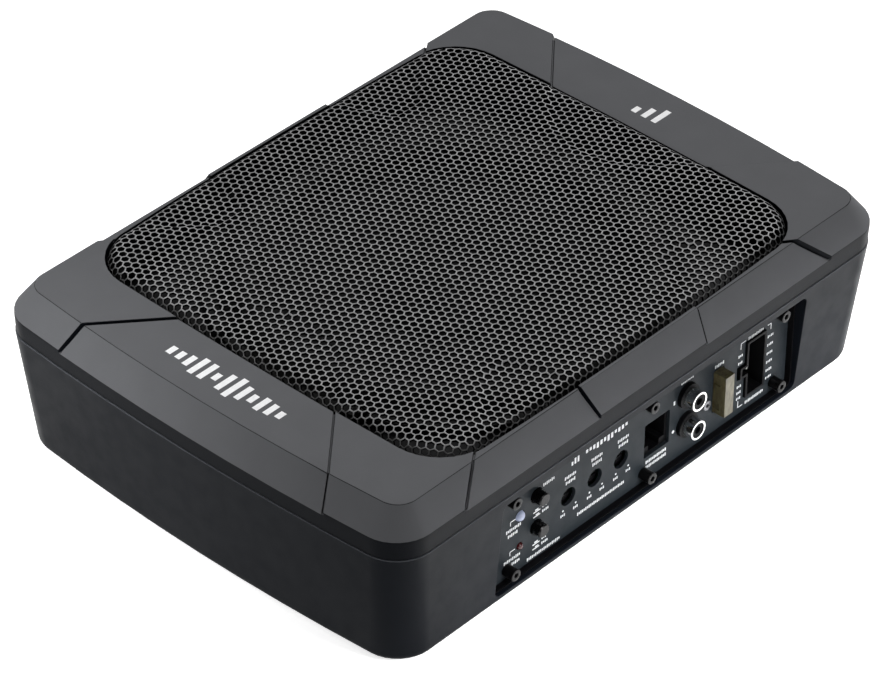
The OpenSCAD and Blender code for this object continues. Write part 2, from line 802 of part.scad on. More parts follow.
module control_board() {
    color([0.05, 0.3, 0.15]) on_feet() difference() {
        block([-74, board_y, 6.5], [84, board_y + board_t, 46]);
        for (p = spacer_xy) bar_y(p[0], p[1], 1.2, board_y - 1, board_y + 3);
    }
}

// Hexagonal pillars: four behind the panel, and eight pressed into the floor by a stud
module board_spacers() {
    flat_r = 2.8;
    hole_r = 1.1;
    color([0.75, 0.6, 0.3]) on_feet() {
        for (p = spacer_xy) translate([p[0], panel_back_y, p[1]]) rotate([-90, 0, 0]) difference() {
            cylinder(h = board_y - panel_back_y, r = flat_r, $fn = 6);
            translate([0, 0, 4]) cylinder(h = 20, r = hole_r);
        }
        for (sx = [-1, 1]) for (sy = [-1, 1]) for (x = standoff_x)
            translate([sx * x, sy * standoff_y, 0]) difference() {
                union() {
                    translate([0, 0, stud_z]) cylinder(h = floor_t, r = stud_r);
                    translate([0, 0, floor_t]) cylinder(h = standoff_z - floor_t, r = 3, $fn = 6);
                }
                translate([0, 0, floor_t + 0.6]) cylinder(h = 10, r = 1.3);
            }
    }
}

module main_board(side) {
    inner = 62;
    outer = 123;
    half_y = 74;
    mirror([side > 0 ? 0 : 1, 0, 0]) difference() {
        block([inner, -half_y, standoff_z], [outer, half_y, standoff_z + board_t]);
        for (x = standoff_x) for (sy = [-1, 1])
            translate([x, sy * standoff_y, standoff_z - 1]) cylinder(h = 4, r = 1.5);
    }
}

board_top = standoff_z + board_t;

module amplifier_board() {
    color([0.05, 0.3, 0.15]) on_feet() main_board(-1);
}

module supply_board() {
    color([0.05, 0.3, 0.15]) on_feet() main_board(1);
}

module board_screws() {
    color([0.7, 0.7, 0.7]) on_feet() {
        for (sx = [-1, 1]) for (x = standoff_x) for (sy = [-1, 1])
            pan_screw_z(sx * x, sy * standoff_y, board_top, 2.6, 1.8, 1.25, 6);
        for (p = spacer_xy) translate([p[0], board_y + board_t, p[1]]) rotate([-90, 0, 0])
            pan_screw_z(0, 0, 0, 2.2, 1.5, 1.05, 5);
    }
}

module board_chips() {
    color([0.08, 0.08, 0.08]) on_feet() {
        for (y = [-40, -8]) block([-110, y - 7, board_top], [-98, y + 7, board_top + 2.6]);
        block([76, -52, board_top], [88, -36, board_top + 2.6]);
        for (x = [-20, -4]) block([x, board_y + board_t, 14], [x + 10, board_y + board_t + 1.8, 22]);
    }
}

module capacitor(x, y, d, h) {
    groove = 0.5;
    translate([x, y, board_top]) rotate_extrude() polygon([[0, 0], [d / 2, 0], [d / 2, 2],
        [d / 2 - groove, 2.6], [d / 2, 3.2], [d / 2, h - 0.6], [d / 2 - 0.6, h], [0, h]]);
}

module filter_capacitors() {
    color([0.1, 0.1, 0.16]) on_feet() {
        for (y = [22, 40, 58]) capacitor(-105, y, 16, 25);
        for (y = [28, 46]) capacitor(106, y, 16, 25);
        for (y = [14, 26]) capacitor(-82, y, 10, 16);
        capacitor(84, -22, 12.5, 20);
    }
}

module toroid(x, y, r, h, turns) {
    core = 0.42 * r;
    wire_w = 1.7;
    translate([x, y, board_top + h / 2]) {
        rotate_extrude() translate([r - core, 0]) square([core, h - 1.6], center = true);
        for (i = [1:turns]) rotate(360 * i / turns) translate([r - core, 0, 0])
            cube([core + 2, wire_w, h], center = true);
    }
}

module output_inductors() {
    color([0.75, 0.4, 0.15]) on_feet() for (y = [44, 66]) toroid(-82, y - 4, 9, 9, 8);
}

module supply_transformer() {
    color([0.8, 0.7, 0.3]) on_feet() toroid(84, 8, 15, 15, 12);
}

transistor_y = [for (i = [0:4]) -68 + 12 * i];

module power_transistors() {
    body_h = 15.5;
    body_t = 4.5;
    body_z = 14.6;
    leg_pitch = 2.54;
    color([0.07, 0.07, 0.07]) on_feet() for (side = [-1, 1]) for (y = transistor_y)
        mirror([side > 0 ? 0 : 1, 0, 0]) {
            block([rib_x0 - body_t, y - 5, body_z], [rib_x0, y + 5, body_z + body_h]);
            for (i = [-1:1]) translate([rib_x0 - 3.4, y + i * leg_pitch, board_top])
                block([0, -0.4, 0], [0.6, 0.4, body_z - board_top + 0.1]);
        }
}

module transistor_clamps() {
    color([0.6, 0.6, 0.62]) on_feet() for (side = [-1, 1]) mirror([side > 0 ? 0 : 1, 0, 0])
        block([rib_x0 - 6, transistor_y[0] - 6, 19], [rib_x0 - 4.5, transistor_y[4] + 6, 25]);
}

module speaker_leads() {
    color([0.6, 0.1, 0.1]) on_feet() for (y = [-3, 3])
        wire([[-52, y, 34.8], [-68, y, 36], [-68, y, 24], [-69, y, board_top]], 1.1, [0, 1, 0]);
}

module supply_leads() {
    back_y = board_y + board_t;
    color([0.5, 0.1, 0.1]) on_feet() for (x = [66, 71])
        wire([[x, back_y, 24], [x, -74, 25], [x, -70, 20], [x, -70, board_top]], 1.4, [1, 0, 0]);
}

module signal_ribbon() {
    t = 0.8;
    color([0.6, 0.6, 0.6]) on_feet() union() {
        block([-73, board_y + board_t, 17], [-63, -69, 17 + t]);
        block([-73, -69 - t, board_top], [-63, -69, 17 + t]);
    }
}

// ---- woofer, turned about Z through the origin ----

basket_t = 1.5;
plate_top_z = 31;
ledge_z = 38;
pole_r = 18.4;
former_r = coil_d / 2;
former_t = 0.3;
coil_r = 20.1;
gap_r = 20.7;
cone_z = 56.2;
neck_z = 43.6;

module ring(r0, r1, z0, z1) {
    translate([0, 0, z0]) difference() {
        cylinder(h = z1 - z0, r = r1, $fn = 96);
        translate([0, 0, -1]) cylinder(h = z1 - z0 + 2, r = r0, $fn = 96);
    }
}

module speaker_basket() {
    t = basket_t;
    seat_r = 48.5;
    shelf_r = 60;
    rim_r = 87.4;
    window_w = 26;
    terminal_w = 7;
    color([0.13, 0.13, 0.14]) on_feet() difference() {
        union() {
            rotate_extrude() polygon([[gap_r + 2, plate_top_z], [seat_r, plate_top_z], [seat_r, ledge_z],
                [shelf_r, ledge_z], [86, 50.6], [rim_r, joint_z], [frame_d / 2, joint_z],
                [frame_d / 2, joint_z + t], [rim_r - t, joint_z + t], [86 - t, 51.6],
                [shelf_r - 0.6, ledge_z + t], [seat_r - t, ledge_z + t], [seat_r - t, plate_top_z + t],
                [gap_r + 2, plate_top_z + t]]);
            block([-52, -terminal_w, 32.4], [-seat_r + 0.4, terminal_w, 37]);
        }
        for (i = [0:5]) rotate(30 + 60 * i) translate([73, 0, 45])
            cube([15, window_w, 14], center = true);
        for (i = [0:frame_screws - 1]) rotate(22.5 + 360 * i / frame_screws)
            translate([bolt_circle_r, 0, joint_z - 1]) cylinder(h = 5, r = 1.8);
    }
}

module top_plate() {
    color([0.5, 0.5, 0.52]) on_feet() ring(gap_r, 50, 26, plate_top_z);
}

module magnet() {
    color([0.2, 0.2, 0.2]) on_feet() ring(26, magnet_d / 2, 11, 26);
}

module back_plate() {
    color([0.5, 0.5, 0.52]) on_feet() difference() {
        union() {
            translate([0, 0, 5]) cylinder(h = 6, r = 50, $fn = 96);
            translate([0, 0, 5]) cylinder(h = 27, r = pole_r, $fn = 96);
        }
        translate([0, 0, 4]) cylinder(h = 30, r = 6);
    }
}

module voice_coil() {
    color([0.75, 0.45, 0.2]) on_feet() union() {
        ring(former_r, former_r + former_t, 19, 46.2);
        ring(former_r + former_t - 0.05, coil_r, 22, 35);
    }
}

module spider() {
    outer_r = 58;
    inner_r = former_r + former_t;
    waves = 5;
    steps = 40;
    t = 0.6;
    mid_z = ledge_z + basket_t;
    function z_at(r) = mid_z + 1.3 * (1 - cos(360 * waves * (outer_r - r) / (outer_r - inner_r))) / 2;
    radii = [for (i = [0:steps]) inner_r + (outer_r - inner_r) * i / steps];
    color([0.8, 0.7, 0.45]) on_feet() rotate_extrude() polygon(concat(
        [for (r = radii) [r, z_at(r)]],
        [for (i = [steps:-1:0]) [radii[i], z_at(radii[i]) + t]]));
}

// Height of the cone's upper face at radius r: steep at the neck, flat at the rim
function cone_at(r) = neck_z + (cone_z - neck_z) * pow((r - former_r) / (cone_d / 2 - former_r), 0.85);

module cone() {
    t = 1.1;
    steps = 16;
    inner_r = former_r + former_t;
    radii = [for (i = [0:steps]) inner_r + (cone_d / 2 - inner_r) * i / steps];
    color([0.1, 0.1, 0.1]) on_feet() rotate_extrude() polygon(concat(
        [for (r = radii) [r, cone_at(r)]],
        [for (i = [steps:-1:0]) [radii[i], cone_at(radii[i]) + t]]));
}

module dust_cap() {
    r = 28;
    rise = 6;
    t = 0.9;
    sphere_r = (r * r + rise * rise) / (2 * rise);
    sweep = asin(r / sphere_r);
    base_z = cone_at(r) + 1.9;
    steps = 10;
    color([0.09, 0.09, 0.09]) on_feet() translate([0, 0, base_z + rise - sphere_r])
        rotate_extrude() polygon(concat(
            [for (i = [0:steps]) let (a = sweep * i / steps) (sphere_r - t) * [sin(a), cos(a)]],
            [for (i = [steps:-1:0]) let (a = sweep * i / steps) sphere_r * [sin(a), cos(a)]]));
}

module surround() {
    t = 0.8;
    roll_r = 7;
    roll_x = 79;
    lip_z = cone_z + 1.1;
    outer_r = 90;
    steps = 14;
    function roll_point(r, z, a) = [roll_x + r * cos(a), z + r * sin(a)];
    color([0.05, 0.05, 0.05]) on_feet() rotate_extrude() polygon(concat(
        [[67.5, lip_z]],
        [for (i = [0:steps]) roll_point(roll_r - t, lip_z, 180 - 180 * i / steps)],
        [[87, joint_z + basket_t], [outer_r, joint_z + basket_t], [outer_r, joint_z + basket_t + t + 0.4]],
        [for (i = [steps:-1:0]) roll_point(roll_r, lip_z + t * 0.3, 180 - 180 * i / steps)],
        [[67.5, lip_z + t]]));
}

module frame_gasket() {
    z0 = joint_z + basket_t;
    color([0.05, 0.05, 0.05]) on_feet() difference() {
        ring(90.1, frame_d / 2, z0, z0 + 2.5);
        for (i = [0:frame_screws - 1]) rotate(22.5 + 360 * i / frame_screws)
            translate([bolt_circle_r, 0, z0 - 1]) cylinder(h = 5, r = 1.8);
    }
}

module speaker_screws() {
    head_z = joint_z + basket_t + 2.5;
    color([0.2, 0.2, 0.21]) on_feet() for (i = [0:frame_screws - 1]) rotate(22.5 + 360 * i / frame_screws)
        pan_screw_z(bolt_circle_r, 0, head_z, 2.7, 1.8, 1.55, 8.5);
}

lower_housing();
top_cover();
grille();
grille_frame();
grille_screws();
baffle_plate();
cover_screws();
rubber_feet();
bracket_inserts();
control_panel();
panel_screws();
power_led();
protect_led();
phase_button();
auto_power_button();
push_switches();
panel_bezel();
low_pass_trimmer();
bass_boost_trimmer();
gain_trimmer();
low_pass_shaft();
bass_boost_shaft();
gain_shaft();
remote_jack();
remote_contacts();
rca_block();
rca_shells();
rca_insulators();
rca_screw();
fuse_holder();
fuse_clips();
fuse_body();
fuse_blades();
power_header();
header_pins();
control_board();
board_spacers();
amplifier_board();
supply_board();
board_screws();
board_chips();
filter_capacitors();
output_inductors();
supply_transformer();
power_transistors();
transistor_clamps();
speaker_leads();
supply_leads();
signal_ribbon();
speaker_basket();
top_plate();
magnet();
back_plate();
voice_coil();
spider();
cone();
dust_cap();
surround();
frame_gasket();
speaker_screws();
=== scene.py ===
import json
import math

import bmesh
import bpy
import numpy as np
from mathutils import Matrix, Vector


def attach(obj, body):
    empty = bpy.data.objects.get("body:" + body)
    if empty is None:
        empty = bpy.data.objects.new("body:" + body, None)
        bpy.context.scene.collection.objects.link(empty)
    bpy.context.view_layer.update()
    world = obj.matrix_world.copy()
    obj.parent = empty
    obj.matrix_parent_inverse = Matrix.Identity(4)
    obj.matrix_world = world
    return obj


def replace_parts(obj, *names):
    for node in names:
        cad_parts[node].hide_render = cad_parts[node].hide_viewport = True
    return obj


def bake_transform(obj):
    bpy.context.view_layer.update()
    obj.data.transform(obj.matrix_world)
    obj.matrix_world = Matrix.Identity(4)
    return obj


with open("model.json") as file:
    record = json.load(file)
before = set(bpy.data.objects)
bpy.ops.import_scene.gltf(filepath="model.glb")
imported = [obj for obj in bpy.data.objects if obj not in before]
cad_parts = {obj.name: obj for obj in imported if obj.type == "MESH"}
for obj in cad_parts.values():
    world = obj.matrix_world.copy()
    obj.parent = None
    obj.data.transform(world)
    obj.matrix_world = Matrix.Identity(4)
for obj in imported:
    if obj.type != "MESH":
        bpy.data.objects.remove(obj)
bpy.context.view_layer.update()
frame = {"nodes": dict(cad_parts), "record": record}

NODES = frame["nodes"]
MM = 0.001

# ---- sizes shared with the CAD part, in millimetres; heights count from the floor ----

FOOT = 1.0
TOP_Z = 73.7 + FOOT
STEP_H = 0.76
JOINT_Z = 54.1 + FOOT
OPENING_X = 105.5
OPENING_Y = 95.8
OPENING_R = 21.0
OPENING_BOW_X = 1.5
OPENING_BOW_Y = 2.5
GRILLE_GAP = 0.7
GRILLE_RISE = 2.5
GRILLE_ROLL = 5.5
GRILLE_T = 1.2
GRILLE_CROWN = 0.4
PANEL_Y = -96.8
TRIMMER_X = (-38.0, -23.0, -8.0)
CONE_RIM_Z = 56.2 + FOOT
FRAME_LIP_Z = 55.6 + FOOT
FORMER_R = 19.3
SPIDER_R = 58.0
SPIDER_Z = 39.5 + FOOT

CRISP_ANGLE = math.radians(30)


# ---- helpers ----

def mesh_piece(name, verts, faces, body="chassis", slot=None, smooth=True):
    """A mesh object from points in millimetres, riding on a body."""
    mesh = bpy.data.meshes.new(name)
    mesh.from_pydata([tuple(v) for v in np.asarray(verts, float) * MM], [], faces)
    mesh.validate()
    mesh.polygons.foreach_set("use_smooth", [smooth] * len(mesh.polygons))
    mesh.update()
    piece = bpy.data.objects.new(name, mesh)
    bpy.context.scene.collection.objects.link(piece)
    if slot:
        mesh.materials.append(MATERIALS[slot])
    if body:
        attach(piece, body)
    return piece


MIX_COLORS_IN = (6, 7)      # a mix node's sockets when it mixes colours
MIX_COLOR_OUT = 2
WAVE_FACTOR = 20            # a wave texture multiplies its coordinates by this


class Shader:
    """A principled material with short calls for its procedural detail."""

    def __init__(self, name, color, roughness, metallic=0.0, specular=0.5):
        self.material = bpy.data.materials.new(name)
        self.material.use_nodes = True
        self.tree = self.material.node_tree
        self.bsdf = self.tree.nodes["Principled BSDF"]
        self.color = color
        self.set("Base Color", (*color, 1))
        self.set("Roughness", roughness)
        self.set("Metallic", metallic)
        self.set("Specular IOR Level", specular)
        coordinates = self.node("ShaderNodeTexCoord")
        self.place = coordinates.outputs["Object"]
        self.facing = coordinates.outputs["Normal"]

    def node(self, kind, **inputs):
        """A new node; an underscore in an input's name stands for a space."""
        made = self.tree.nodes.new(kind)
        for key, value in inputs.items():
            made.inputs[key.replace("_", " ")].default_value = value
        return made

    def link(self, source, target):
        self.tree.links.new(source, target)

    def set(self, name, value):
        self.bsdf.inputs[name].default_value = value

    def paint(self, source):
        self.link(source, self.bsdf.inputs["Base Color"])

    def noise(self, scale, detail, stretch=None, distortion=0.0):
        made = self.node("ShaderNodeTexNoise", Scale=scale, Detail=detail, Distortion=distortion)
        self.link(self.stretched(stretch), made.inputs["Vector"])
        return made.outputs["Fac"]

    def bands(self, radian_size, direction, distortion=0.0):
        """Waves along a direction, whose phase gains one radian in so many millimetres."""
        scale = per_mm(radian_size) / WAVE_FACTOR
        made = self.node("ShaderNodeTexWave", Scale=scale, Distortion=distortion)
        made.bands_direction = direction
        self.link(self.place, made.inputs["Vector"])
        return made.outputs["Fac"]

    def stretched(self, stretch):
        """The object's coordinates, multiplied axis by axis."""
        if stretch is None:
            return self.place
        mapping = self.node("ShaderNodeMapping", Scale=stretch)
        self.link(self.place, mapping.inputs["Vector"])
        return mapping.outputs["Vector"]

    def ranged(self, source, low, high, start=0.3, end=0.7):
        """Runs from low to high while the source runs from start to end."""
        made = self.node("ShaderNodeMapRange", From_Min=start, From_Max=end, To_Min=low, To_Max=high)
        self.link(source, made.inputs["Value"])
        return made.outputs["Result"]

    def z_of(self, source):
        split = self.node("ShaderNodeSeparateXYZ")
        self.link(source, split.inputs["Vector"])
        return split.outputs["Z"]

    def z_between(self, source, start, end):
        """0 where the z of a vector is below start, 1 above end."""
        return self.ranged(self.z_of(source), 0, 1, start, end)

    def near(self, source, value, within):
        """1 where the source is within so much of the value, 0 elsewhere."""
        made = self.node("ShaderNodeMath")
        made.operation = "COMPARE"
        made.inputs[1].default_value = value
        made.inputs[2].default_value = within
        self.link(source, made.inputs[0])
        return made.outputs[0]

    def larger(self, first, second):
        made = self.node("ShaderNodeMath")
        made.operation = "MAXIMUM"
        self.link(first, made.inputs[0])
        self.link(second, made.inputs[1])
        return made.outputs[0]

    def drifting(self, source, color, spread):
        """A colour that varies both ways by the share spread."""
        dark = dimmed(color, 1 - spread)
        light = [min(1, c * (1 + spread)) for c in color]
        return self.mixed(self.ranged(source, 0, 1), dark, light)

    def mixed(self, fac, first, second):
        """First at 0 and second at 1; each is a colour or another node's output."""
        made = self.node("ShaderNodeMix")
        made.data_type = "RGBA"
        self.link(fac, made.inputs["Factor"])
        for socket, value in zip(MIX_COLORS_IN, (first, second)):
            if hasattr(value, "is_linked"):
                self.link(value, made.inputs[socket])
            else:
                made.inputs[socket].default_value = (*value, 1)
        return made.outputs[MIX_COLOR_OUT]

    def tint(self, source, spread):
        """Base colour drifting by the share spread round the plain colour."""
        self.paint(self.drifting(source, self.color, spread))

    def rough(self, source, low, high):
        self.link(self.ranged(source, low, high), self.bsdf.inputs["Roughness"])

    def bump(self, source, depth):
        """Adds relief; depth in millimetres between the darkest and the lightest."""
        made = self.node("ShaderNodeBump", Strength=1.0, Distance=depth * MM)
        self.link(source, made.inputs["Height"])
        self.link(made.outputs["Normal"], self.bsdf.inputs["Normal"])


def per_mm(size):
    """Noise scale whose features are about size millimetres across."""
    return 1 / (size * MM)


def dimmed(color, share):
    return [c * share for c in color]


# ---- materials ----

def moulded(name, color, roughness, grain=0.35, depth=0.02, specular=0.5):
    """Moulded plastic: a fine spark-eroded grain and slow tone drift."""
    look = Shader(name, color, roughness, specular=specular)
    look.tint(look.noise(per_mm(18), 4), 0.12)
    fine = look.noise(per_mm(grain), 2)
    look.rough(fine, roughness - 0.06, roughness + 0.08)
    look.bump(fine, depth)
    return look


def peeled(name, color, roughness, peel, depth, specular):
    """The orange peel of paint or powder coat, in one plain colour."""
    look = Shader(name, color, roughness, specular=specular)
    look.rough(look.noise(per_mm(7), 4), roughness - 0.05, roughness + 0.07)
    look.bump(look.noise(per_mm(peel), 2), depth)
    return look


def painted(name, color, roughness, peel=1.6, depth=0.012, spread=0.15, specular=0.5):
    """Paint or powder coat: orange peel and slow tone drift."""
    look = peeled(name, color, roughness, peel, depth, specular)
    look.tint(look.noise(per_mm(30), 5), spread)
    return look


HOUSING_SHEEN = (0.82, 0.91, 1.0, 1)
# Heights of the painted highlight: a light band along the housing's rim, just under the joint with the
# cover
RIM_HIGHLIGHT_START_Z = (JOINT_Z - 0.4) * MM
RIM_HIGHLIGHT_FULL_Z = (JOINT_Z - 0.1) * MM


def housing_coat(name, color, rim_highlight_color):
    """Near-black powder coat, with a painted highlight: a light band along the rim where the cover sits
    down on it.
    """
    look = peeled(name, color, roughness=0.4, peel=1.1, depth=0.006, specular=0.038)
    look.set("Specular Tint", HOUSING_SHEEN)
    # painted highlight: the last few tenths of a millimetre under the joint turn light
    rim = look.z_between(look.place, RIM_HIGHLIGHT_START_Z, RIM_HIGHLIGHT_FULL_Z)
    wall = look.drifting(look.noise(per_mm(30), 5), color, 0.04)
    look.paint(look.mixed(rim, wall, rim_highlight_color))
    return look


# How far a face of the cover is turned upward, as the z of its normal: 0 on a wall, 1 on the flat top.
# The walls are painted near-black as painted shade, and faces turned about EDGE_UP get a painted shade
# line along the edges
WALL_UP = 0.2
TOP_UP = 0.34
EDGE_UP = 0.81
EDGE_UP_RANGE = 0.13
EDGE_PAINTED_SHADE = 0.22


def cover_finish(name, color, wall_shade_color):
    """Fine-textured plastic on top; smoother on the walls, which are painted near-black as painted
    shade, with a painted shade line along the edges.
    """
    look = Shader(name, color, roughness=0.6, specular=0.03)
    # painted shade: faces turned toward the side take the near-black wall colour
    up = look.z_between(look.facing, WALL_UP, TOP_UP)
    # painted shade: a dark line where the rounded edges turn between top and chamfer
    edge = look.near(look.z_of(look.facing), EDGE_UP, EDGE_UP_RANGE)
    field = look.drifting(look.noise(per_mm(14), 4), color, 0.03)
    top = look.mixed(edge, field, dimmed(color, EDGE_PAINTED_SHADE))
    look.paint(look.mixed(up, wall_shade_color, top))
    look.link(look.ranged(up, 0.42, 0.62, 0, 1), look.bsdf.inputs["Roughness"])
    look.bump(look.noise(per_mm(0.5), 3), 0.035)
    return look


# Heights over which the painted shade on the grille's rolled edge gives way to the plain coat
ROLL_DEEPEST_SHADE_Z = (TOP_Z + 0.6) * MM
ROLL_UNSHADED_Z = (TOP_Z + 1.65) * MM
ROLL_PAINTED_SHADE = 0.16


def grille_coat(name, color):
    """Powder coat on the webs, with painted shade darkening it down round the rolled edge."""
    look = peeled(name, color, roughness=0.36, peel=0.5, depth=0.01, specular=0.5)
    # painted shade: dark low on the rolled edge, the plain coat on the field
    level = look.z_between(look.place, ROLL_DEEPEST_SHADE_Z, ROLL_UNSHADED_Z)
    field = look.drifting(look.noise(per_mm(9), 3), color, 0.12)
    look.paint(look.mixed(level, dimmed(color, ROLL_PAINTED_SHADE), field))
    return look


def metal(name, color, roughness, stretch=None, depth=0.004):
    """Bare or plated metal, with brushing where stretch is given."""
    look = Shader(name, color, roughness, metallic=1.0)
    streaks = look.noise(per_mm(0.5), 4, stretch)
    look.tint(look.noise(per_mm(6), 4), 0.12)
    look.rough(streaks, roughness - 0.07, roughness + 0.1)
    look.bump(streaks, depth)
    return look


def board_shader(name, color):
    """Solder mask over copper: angular fields, parted by lighter lines."""
    look = Shader(name, color, 0.32)
    cells = look.node("ShaderNodeTexVoronoi", Scale=per_mm(4.5))
    cells.feature = "DISTANCE_TO_EDGE"
    cells.distance = "MANHATTAN"
    look.link(look.place, cells.inputs["Vector"])
    tracks = look.ranged(cells.outputs["Distance"], 0, 1, 0.05, 0.09)
    light = [min(1, c * 1.8 + 0.01) for c in color]
    look.paint(look.mixed(tracks, light, color))
    look.bump(tracks, 0.03)
    return look


def woven(name, color):
    """Resin-dipped cloth: two crossed sets of threads."""
    look = Shader(name, color, 0.8)
    threads = look.larger(look.bands(1.1, "X", 0.4), look.bands(1.1, "Y", 0.4))
    look.paint(look.mixed(threads, dimmed(color, 0.6), color))
    look.bump(threads, 0.15)
    return look


def pulp(name, color):
    """Pressed paper pulp: short fibres."""
    look = Shader(name, color, 0.72, specular=0.1)
    fibres = look.noise(per_mm(1.2), 6, (1, 3.5, 1), distortion=2.0)
    look.tint(fibres, 0.35)
    look.rough(fibres, 0.62, 0.85)
    look.bump(fibres, 0.08)
    return look


def lens(name, color, glow, strength):
    """A diffused lamp lens, lit from within."""
    look = Shader(name, color, 0.25)
    look.tint(look.noise(per_mm(0.8), 3), 0.08)
    look.bump(look.noise(per_mm(0.5), 2), 0.01)
    look.set("Emission Color", (*glow, 1))
    look.set("Emission Strength", strength)
    return look


def clear_tinted(name, color):
    """Translucent moulded plastic, with the darker metal link showing through in streaks."""
    look = Shader(name, color, 0.3, specular=0.22)
    look.tint(look.noise(per_mm(1.3), 3, (1, 1, 0.35)), 0.5)
    look.bump(look.noise(per_mm(1.6), 2), 0.06)
    look.set("Transmission Weight", 0.35)
    look.set("IOR", 1.5)
    return look


def enamelled(name, color):
    """Copper wire laid side by side, under varnish."""
    look = Shader(name, color, 0.28, metallic=1.0)
    turns = look.bands(0.5, "DIAGONAL", 0.3)
    look.paint(look.mixed(turns, dimmed(color, 0.35), color))
    look.bump(turns, 0.1)
    return look


def ribbon(name, color):
    """Flat cable: parallel cores under grey vinyl."""
    look = Shader(name, color, 0.5)
    cores = look.bands(1.27, "X")
    look.paint(look.mixed(cores, dimmed(color, 0.55), color))
    look.bump(cores, 0.25)
    return look


def print_ink(name, color):
    """Pad-printed ink with a faintly uneven face and tone."""
    look = Shader(name, color, 0.55)
    look.tint(look.noise(per_mm(1.5), 4), 0.06)
    look.bump(look.noise(per_mm(0.4), 2), 0.01)
    return look


# One for each material slot of the CAD part
SHADERS = {
    # the housing's second colour is the painted highlight along its rim
    "housing_paint": housing_coat("housing_paint", (0.0034, 0.0042, 0.0060), (0.085, 0.09, 0.10)),
    # the cover's second colour is the painted shade on its walls
    "cover_plastic": cover_finish("cover_plastic", (0.120, 0.122, 0.129), (0.0030, 0.0038, 0.0055)),
    "grille_steel": grille_coat("grille_steel", (0.28, 0.28, 0.285)),
    "panel_plate": painted("panel_plate", (0.0085, 0.0108, 0.0130), 0.5, peel=0.9, depth=0.008,
                           spread=0.06, specular=0.07),
    "black_plastic": moulded("black_plastic", (0.0018, 0.0018, 0.0022), 0.5, specular=0.05),
    "button_plastic": moulded("button_plastic", (0.0015, 0.0015, 0.0018), 0.24, depth=0.006,
                              specular=0.12),
    "led_blue": lens("led_blue", (0.17, 0.19, 0.26), (0.62, 0.72, 1.0), 0.09),
    "led_red": lens("led_red", (0.022, 0.0015, 0.002), (1.0, 0.05, 0.04), 0.01),
    "nickel": metal("nickel", (0.88, 0.87, 0.85), 0.16, depth=0.002),
    "gold_contact": metal("gold_contact", (0.86, 0.64, 0.26), 0.22),
    "fuse_plastic": clear_tinted("fuse_plastic", (0.066, 0.057, 0.028)),
    "tin": metal("tin", (0.70, 0.69, 0.66), 0.3),
    "black_screw": painted("black_screw", (0.0018, 0.0018, 0.0020), 0.3, peel=0.6, depth=0.006,
                           specular=0.11),
    "zinc_screw": metal("zinc_screw", (0.15, 0.15, 0.16), 0.36),
    "brass_insert": metal("brass_insert", (0.74, 0.55, 0.24), 0.28),
    "rubber": moulded("rubber", (0.008, 0.008, 0.008), 0.72, grain=0.6, depth=0.03, specular=0.15),
    "board": board_shader("board", (0.012, 0.11, 0.045)),
    "chip_black": moulded("chip_black", (0.018, 0.018, 0.019), 0.6, grain=0.25),
    "trimmer_blue": moulded("trimmer_blue", (0.02, 0.07, 0.25), 0.45),
    "can_sleeve": moulded("can_sleeve", (0.016, 0.018, 0.045), 0.3, depth=0.005),
    "copper_wire": enamelled("copper_wire", (0.62, 0.27, 0.09)),
    "wire_red": moulded("wire_red", (0.30, 0.012, 0.012), 0.38, depth=0.006),
    "ribbon_grey": ribbon("ribbon_grey", (0.38, 0.38, 0.38)),
    "frame_steel": painted("frame_steel", (0.006, 0.006, 0.007), 0.5, specular=0.15),
    "plate_steel": metal("plate_steel", (0.46, 0.46, 0.48), 0.34, stretch=(1, 14, 1)),
    "ferrite": moulded("ferrite", (0.035, 0.035, 0.037), 0.66, grain=0.8, depth=0.05),
    "spider_cloth": woven("spider_cloth", (0.55, 0.40, 0.16)),
    "cone_pulp": pulp("cone_pulp", (0.006, 0.006, 0.0065)),
    "baffle_steel": painted("baffle_steel", (0.005, 0.005, 0.006), 0.5, specular=0.15),
}
MATERIALS = {slot: shader.material for slot, shader in SHADERS.items()}
PANEL_INK = print_ink("panel_ink", (0.42, 0.43, 0.44)).material
COVER_INK = print_ink("cover_ink", (0.93, 0.93, 0.94)).material
# Near-black painted shade for the walls and backs of the grille's holes
BORE_PAINTED_SHADE = painted("bore_painted_shade", (0.003, 0.003, 0.003), 0.8, specular=0.05).material


# ---- CAD nodes: their own materials, soft edges and smooth shading ----

EDGE_RADIUS = {"lower_housing": 0.35, "top_cover": 0.28, "control_panel": 0.15, "panel_screws": 0.2}
SMALL_EDGE_RADIUS = 0.12
FULL_EDGE_FROM = 0.2        # edges this broad stay broad where small faces crowd them
WELD_DISTANCE = 0.002


def sharp_by_angle():
    """Geometry nodes that shade smooth, but crisp across edges that turn by more than CRISP_ANGLE."""
    group = bpy.data.node_groups.new("crisp_edges", "GeometryNodeTree")
    group.interface.new_socket("Geometry", in_out="INPUT", socket_type="NodeSocketGeometry")
    group.interface.new_socket("Geometry", in_out="OUTPUT", socket_type="NodeSocketGeometry")
    start = group.nodes.new("NodeGroupInput")
    end = group.nodes.new("NodeGroupOutput")
    angle = group.nodes.new("GeometryNodeInputMeshEdgeAngle")
    over = group.nodes.new("FunctionNodeCompare")
    over.inputs["B"].default_value = CRISP_ANGLE
    crisp = group.nodes.new("GeometryNodeSetShadeSmooth")
    crisp.domain = "EDGE"
    crisp.inputs["Shade Smooth"].default_value = False
    group.links.new(start.outputs[0], crisp.inputs["Geometry"])
    group.links.new(angle.outputs["Unsigned Angle"], over.inputs["A"])
    group.links.new(over.outputs["Result"], crisp.inputs["Selection"])
    group.links.new(crisp.outputs["Geometry"], end.inputs[0])
    return group


CRISP = sharp_by_angle()


